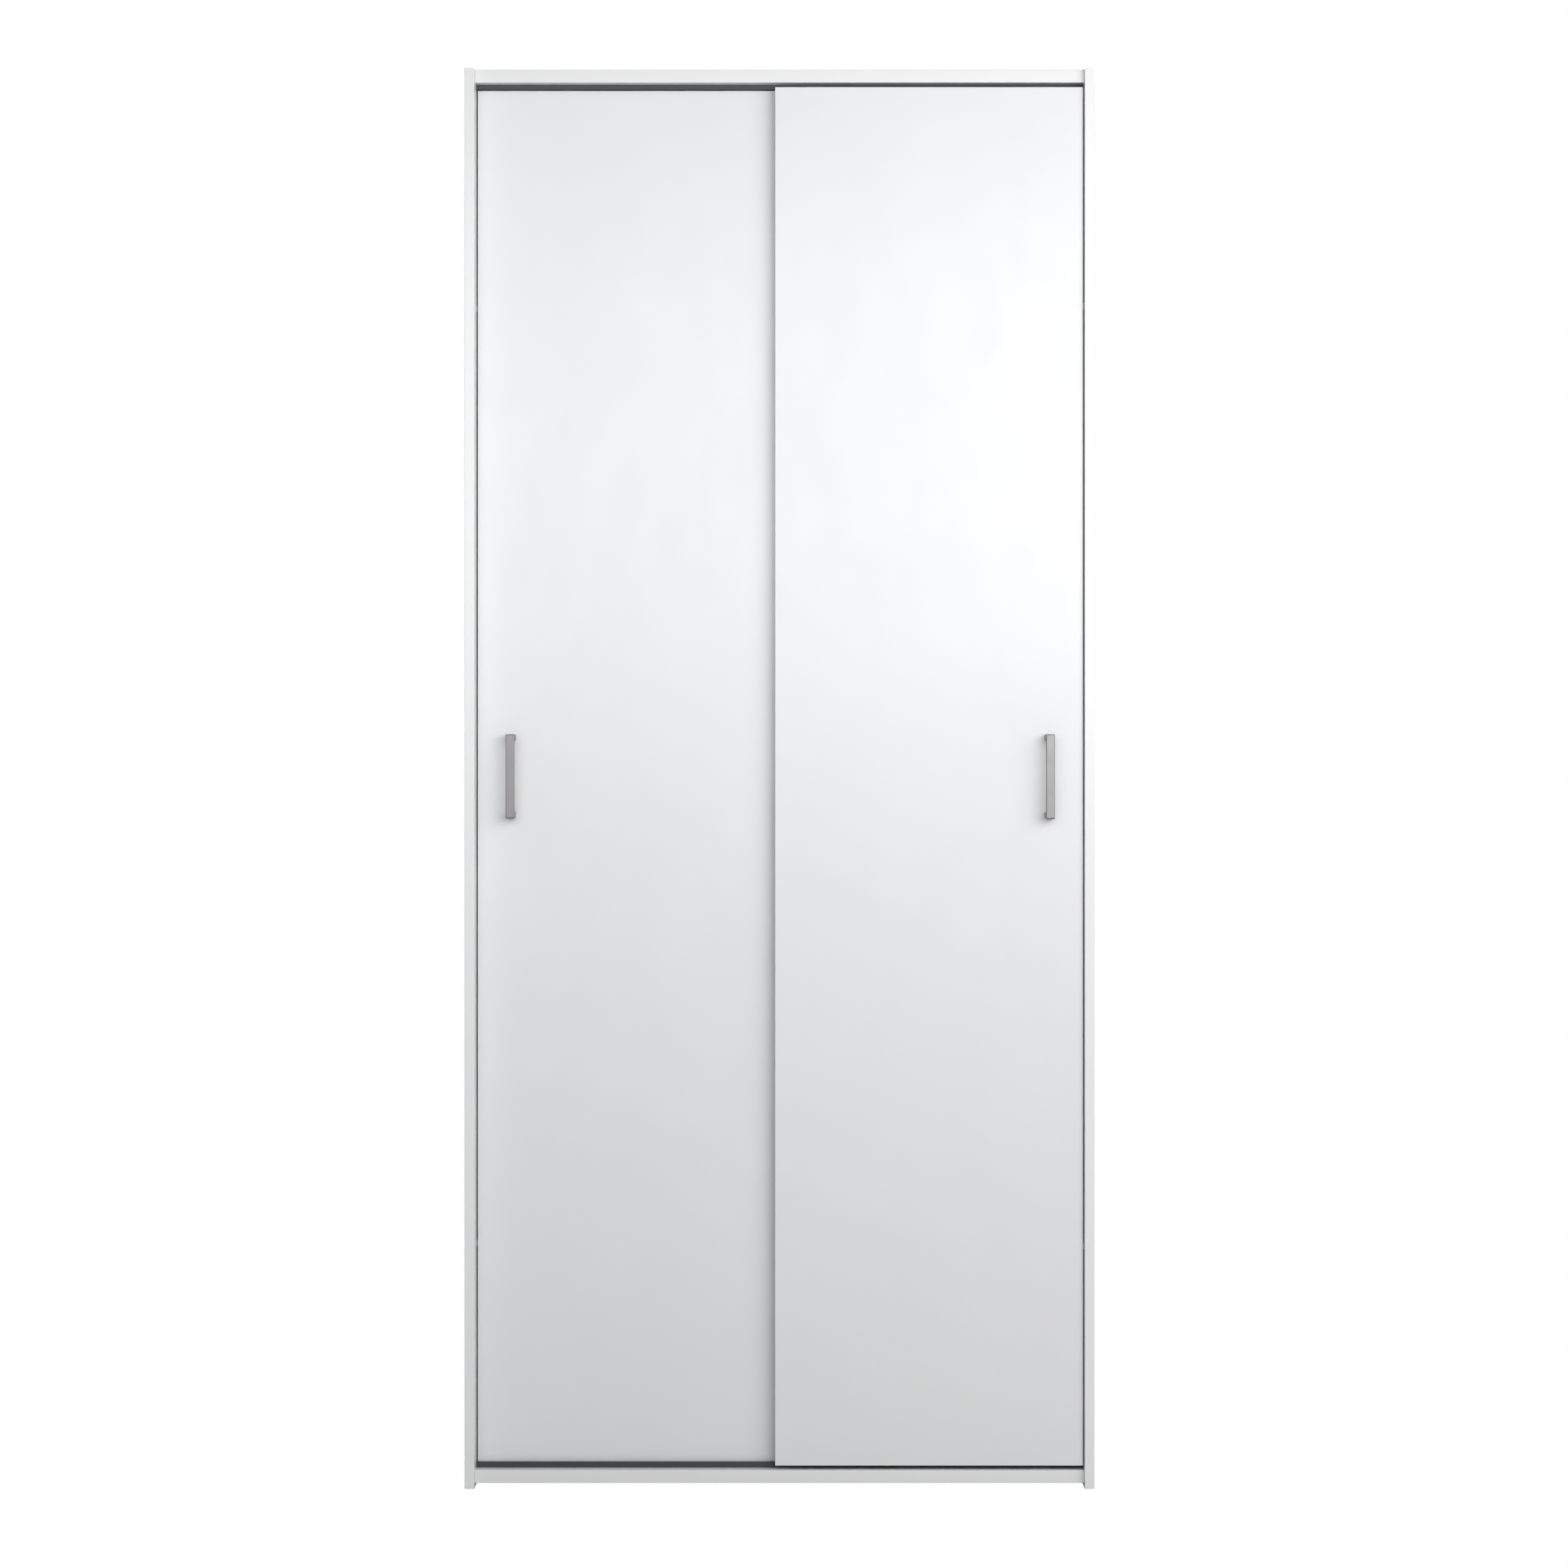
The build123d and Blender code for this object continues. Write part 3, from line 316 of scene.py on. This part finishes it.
def satin_metal(name, dark, light, rough, along):
    """Brushed and blasted metal, with its fine lines drawn out along one axis."""
    graph = Graph(name)
    stretch = [0.02 if axis == along else 1 for axis in "xyz"]
    brushing = graph.noise(2400, detail=2, stretch=stretch)
    blast = graph.noise(5200, detail=1)
    stain = graph.noise(55, detail=4)
    shade = graph.math("MULTIPLY", graph.math("ADD", brushing, stain), 0.5)
    graph.set(Base_Color=graph.mixed(shade, dark, light), Metallic=1.0)
    gloss = graph.ranged(blast, (0.25, 0.75), (rough - 0.05, rough + 0.05))
    graph.set(Roughness=graph.math("ADD", gloss, graph.ranged(stain, (0.3, 0.7), (-0.03, 0.04))))
    relief = graph.relief(brushing, 0.012 * MM, 0.8)
    graph.set(Normal=graph.relief(blast, 0.006 * MM, 0.8, relief))
    return graph.material


def zinc():
    """Bright zinc plate with soft spangles and a faint passivation tint."""
    graph = Graph("zinc_steel")
    spangle = graph.parts(graph.cells(700))[0]
    tint = graph.noise(160, detail=3)
    plate = graph.mixed(tint, (0.52, 0.545, 0.57), (0.60, 0.60, 0.57))
    graph.set(Base_Color=plate, Metallic=1.0)
    graph.set(Roughness=graph.ranged(spangle, (0, 1), (0.24, 0.38)))
    graph.set(Normal=graph.relief(graph.noise(1800, detail=2), 0.01 * MM))
    return graph.material


def spring_steel():
    """Cold rolled strip, with rolling lines along it and a light straw tint."""
    graph = Graph("spring_steel")
    lines = graph.noise(2600, detail=2, stretch=(0.03, 1, 0.03))
    tint = graph.noise(240, detail=3)
    strip = graph.mixed(tint, (0.44, 0.43, 0.40), (0.56, 0.555, 0.54))
    graph.set(Base_Color=strip, Metallic=1.0)
    graph.set(Roughness=graph.ranged(lines, (0.3, 0.7), (0.22, 0.34)))
    graph.set(Normal=graph.relief(lines, 0.006 * MM))
    return graph.material


def moulded(name, dark, light, rough, grain=0.02 * MM, soft=0.0):
    """Injection moulded plastic or rubber with a spark-eroded texture."""
    graph = Graph(name)
    texture = graph.noise(2400, detail=3, rough=0.65)
    flow = graph.noise(70, detail=3, stretch=(1, 1, 0.5))
    graph.set(Base_Color=graph.mixed(flow, dark, light), Subsurface_Weight=soft)
    graph.set(Roughness=graph.ranged(texture, (0.3, 0.7), (rough - 0.06, rough + 0.06)))
    graph.set(Normal=graph.relief(texture, grain))
    return graph.material


def beech():
    """Pale pink-brown beech with short dark flecks along the dowel."""
    graph = Graph("beech")
    grain = graph.noise(900, detail=4, stretch=(0.08, 1, 1))
    flecks = graph.ranged(graph.noise(1500, detail=1, stretch=(0.25, 1, 1)), (0.58, 0.70), (0, 0.8))
    wood = graph.mixed(grain, (0.52, 0.34, 0.19), (0.68, 0.49, 0.31))
    graph.set(Base_Color=graph.mixed(flecks, wood, (0.30, 0.17, 0.085)), Roughness=0.62)
    graph.set(Normal=graph.relief(grain, 0.04 * MM))
    return graph.material


# ------------------------------------------------------------------ dressing the CAD nodes


def dress(names, material):
    """Gives CAD nodes a material."""
    for name in names:
        mesh = NODES[name].data
        mesh.materials.clear()
        mesh.materials.append(material)


def dress_boards():
    """Each board has its own limits, so each has its own material."""
    for side in SIDES:
        name = f"{side}_side_panel"
        dress([name], board(name, "x", ("-y", "+z")))
        name = f"{side}_door_panel"
        low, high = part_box(f"{side}_door_handle")
        dress([name], board(name, "y", ("-x", "+x", "-z", "+z"), (low + high) / 2))
    for name in ("top_panel", "bottom_panel", "hat_shelf"):
        dress([name], board(name, "z", ("-y",)))
    dress(["upper_back_panel", "lower_back_panel"], hardboard())


def dress_metal():
    """The handles, the clothes rail and the zinc plated fixings."""
    handle = satin_metal("handle_metal", (0.255, 0.25, 0.252), (0.315, 0.308, 0.31), 0.46, "z")
    dress([f"{side}_door_handle" for side in SIDES], handle)
    rail = satin_metal("rail_steel", (0.60, 0.60, 0.60), (0.70, 0.70, 0.70), 0.22, "x")
    dress(["clothes_rail", "rail_bracket_left", "rail_bracket_right"], rail)
    steel = ["back_nails", "cam_locks", "cam_bolts", "track_screws", "rail_bracket_screws"]
    steel += ["wall_bracket_left", "wall_bracket_right", "wall_bracket_screws"]
    for kind in ("handle_screws", "roller_axles", "carriage_screws", "guide_screws"):
        steel += [f"{side}_{kind}" for side in SIDES]
    dress(steel, zinc())


def dress_plastic_and_wood():
    """The tracks, the doors' fittings, the white and rubber pieces, and the dowels."""
    dress(["top_track", "bottom_track"], extruded_plastic())
    kinds = ("carriage", "guide_housing", "guide_slider")
    fittings = [f"{side}_{kind}_{end}" for side in SIDES for kind in kinds for end in ENDS]
    dress(fittings, moulded("fitting_plastic", (0.070, 0.072, 0.076), (0.092, 0.094, 0.098), 0.48))
    nylon = moulded("roller_nylon", (0.70, 0.69, 0.64), (0.76, 0.75, 0.71), 0.35, 0.008 * MM, 0.15)
    dress([f"{side}_roller_{end}" for side in SIDES for end in ENDS], nylon)
    white = moulded("white_plastic", (0.76, 0.765, 0.77), (0.80, 0.80, 0.80), 0.42)
    dress(["back_joining_strip", "floor_glides"], white)
    rubber = moulded("bumper_rubber", (0.50, 0.50, 0.49), (0.58, 0.58, 0.57), 0.55, 0.03 * MM, 0.2)
    dress(["door_bumpers"], rubber)
    dress(["dowels"], beech())


# ------------------------------------------------------------------ the guides' springs

# The strip: its thickness, the radius of its edges, and the angle that still shades as an edge.
LEAF_T = 0.5 * MM
LEAF_EDGE = 0.12 * MM
LEAF_SHARP = math.radians(50)
LEAF_STEPS = 64
LEAF_EDGE_STEPS = 4
# Its clearance in the housing, and its width at the crown against its feet.
LEAF_END_GAP = 0.03 * MM
LEAF_SIDE_GAP = 0.05 * MM
LEAF_FOOT_GAP = 0.12 * MM
LEAF_CROWN = 0.82


def leaf_outline(half_width):
    """The strip's cross-section with round edges, as pairs of across and through."""
    points = []
    for corner, (across, through) in enumerate(((1, 1), (-1, 1), (-1, -1), (1, -1))):
        for step in range(LEAF_EDGE_STEPS):
            turn = math.radians(90 * (corner + step / (LEAF_EDGE_STEPS - 1)))
            points.append(
                (
                    across * (half_width - LEAF_EDGE) + LEAF_EDGE * math.cos(turn),
                    through * (LEAF_T / 2 - LEAF_EDGE) + LEAF_EDGE * math.sin(turn),
                )
            )
    return points


def leaf_mesh(name, low, high, foot):
    """An arched strip in the space between two corners, narrower at its crown."""
    centre = (low + high) / 2
    half_span = (high.x - low.x) / 2 - LEAF_T / 2 - LEAF_END_GAP
    rise = high.z - LEAF_T / 2 - LEAF_END_GAP - foot
    radius = (half_span**2 + rise**2) / (2 * rise)
    reach = math.asin(half_span / radius)
    pivot = Vector((centre.x, centre.y, foot + rise - radius))
    foot_width = (high.y - low.y) / 2 - LEAF_SIDE_GAP
    vertices, faces = [], []
    for step in range(LEAF_STEPS + 1):
        share = 2 * step / LEAF_STEPS - 1
        out = Vector((math.sin(share * reach), 0, math.cos(share * reach)))
        ring = leaf_outline(foot_width * (LEAF_CROWN + (1 - LEAF_CROWN) * share * share))
        for across, through in ring:
            vertices.append(pivot + out * radius + Vector((0, across, 0)) + out * through)
    count = len(ring)
    for start in range(0, LEAF_STEPS * count, count):
        for n in range(count):
            m = (n + 1) % count
            faces.append((start + n, start + m, start + count + m, start + count + n))
    last = LEAF_STEPS * count
    faces += [tuple(reversed(range(count))), tuple(range(last, last + count))]
    mesh = bpy.data.meshes.new(name)
    mesh.from_pydata(vertices, [], faces)
    mesh.shade_smooth()
    mesh.set_sharp_from_angle(angle=LEAF_SHARP)
    return mesh


def leaf_spring(side, end, finish):
    """A fixed arched strip of spring steel under its guide's slider, which moves with its door."""
    node = f"{side}_guide_spring_{end}"
    low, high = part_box(node)
    foot = low.z + LEAF_FOOT_GAP
    mesh = leaf_mesh(f"{node}_leaf", low, high, foot)
    mesh.materials.append(finish)
    leaf = bpy.data.objects.new(f"{node}_leaf", mesh)
    bpy.context.scene.collection.objects.link(leaf)
    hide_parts(node)
    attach(leaf, f"{side}_door")
    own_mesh(leaf)


def make_springs():
    """One leaf under each guide's slider."""
    finish = spring_steel()
    for side in SIDES:
        for end in ENDS:
            leaf_spring(side, end, finish)


dress_boards()
dress_metal()
dress_plastic_and_wood()
make_springs()

# ------------------------------------------------------------------ studio


class Light(NamedTuple):
    """A soft rectangular light: where it is, what it faces, its size, watts and spread."""

    place: tuple
    aim: tuple
    size: tuple
    power: float
    spread: float = 180.0


# The camera looks at the plane of the side panels' front edges and sees this much of it.
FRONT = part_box("left_side_panel")[0].y
FRAME_W = 1.931
FRAME_CENTRE = Vector((0.0055, FRONT, 0.8712))
CAMERA_DISTANCE = 4.2
EYE_HEIGHT = 0.932
SENSOR = 36.0

AMBIENT = 0.22
FLOOR_HALF = 6.0
# The key and the strip light the doors; the fills are for the sides, the top and the back.
LIGHTS = {
    "key": Light((1.4, -2.4, 1.6), (0.1, 0, 1.2), (2.4, 1.6), 27.0),
    "strip": Light((0.2, -2.6, 1.5), (0.1, 0, 1.2), (3.4, 1.0), 12.8, 100.0),
    "right_fill": Light((3.0, 0.9, 1.5), (0.388, 0, 0.9), (1.8, 1.8), 30.0),
    "left_fill": Light((-3.0, 0.9, 1.5), (-0.388, 0, 0.9), (1.8, 1.8), 22.0),
    "top_fill": Light((0, 0.8, 3.8), (0, 0, 1.753), (1.6, 1.2), 18.0),
    "back_fill": Light((-0.6, 3.4, 1.7), (0, 0.257, 0.9), (2.2, 1.8), 30.0),
}


def make_camera():
    """A level camera in front of the wardrobe, shifted down a little to frame it."""
    data = bpy.data.cameras.new("camera")
    data.sensor_width = SENSOR
    data.lens = SENSOR * CAMERA_DISTANCE / FRAME_W
    data.shift_y = (FRAME_CENTRE.z - EYE_HEIGHT) / FRAME_W
    camera = bpy.data.objects.new("camera", data)
    camera.location = (FRAME_CENTRE.x, FRONT - CAMERA_DISTANCE, EYE_HEIGHT)
    camera.rotation_euler = (math.radians(90), 0, 0)
    bpy.context.scene.collection.objects.link(camera)
    bpy.context.scene.camera = camera


def make_light(name, light):
    """One of the lights, out of the camera's sight."""
    data = bpy.data.lights.new(name, "AREA")
    data.shape = "RECTANGLE"
    data.size, data.size_y = light.size
    data.energy = light.power
    data.spread = math.radians(light.spread)
    lamp = bpy.data.objects.new(name, data)
    lamp.location = light.place
    facing = Vector(light.aim) - Vector(light.place)
    lamp.rotation_euler = facing.to_track_quat("-Z", "Y").to_euler()
    lamp.visible_camera = False
    bpy.context.scene.collection.objects.link(lamp)


def make_world():
    """Soft white light from all round, in front of plain white surroundings."""
    world = bpy.data.worlds.new("studio")
    bpy.context.scene.world = world
    world.use_nodes = True
    tree = world.node_tree
    background = tree.nodes["Background"]
    background.inputs["Color"].default_value = (1, 1, 1, 1)
    strength = tree.nodes.new("ShaderNodeMapRange")
    strength.inputs["To Min"].default_value = AMBIENT
    strength.inputs["To Max"].default_value = 1.0
    seen = tree.nodes.new("ShaderNodeLightPath").outputs["Is Camera Ray"]
    tree.links.new(seen, strength.inputs["Value"])
    tree.links.new(strength.outputs["Result"], background.inputs["Strength"])


def make_floor():
    """A pale floor out of the camera's sight, which only throws light back up."""
    mesh = bpy.data.meshes.new("studio_floor")
    corners = ((-1, -1), (1, -1), (1, 1), (-1, 1))
    mesh.from_pydata([(x * FLOOR_HALF, y * FLOOR_HALF, 0) for x, y in corners], [], [(0, 1, 2, 3)])
    floor = bpy.data.objects.new("studio_floor", mesh)
    bpy.context.scene.collection.objects.link(floor)
    graph = Graph("studio_floor")
    grain = graph.noise(60, detail=3)
    graph.set(Base_Color=graph.mixed(grain, (0.62, 0.62, 0.62), (0.64, 0.64, 0.64)), Roughness=0.9)
    mesh.materials.append(graph.material)
    floor.visible_camera = False


make_camera()
make_world()
make_floor()
for light_name, settings in LIGHTS.items():
    make_light(light_name, settings)
bpy.context.scene.view_settings.view_transform = "Standard"
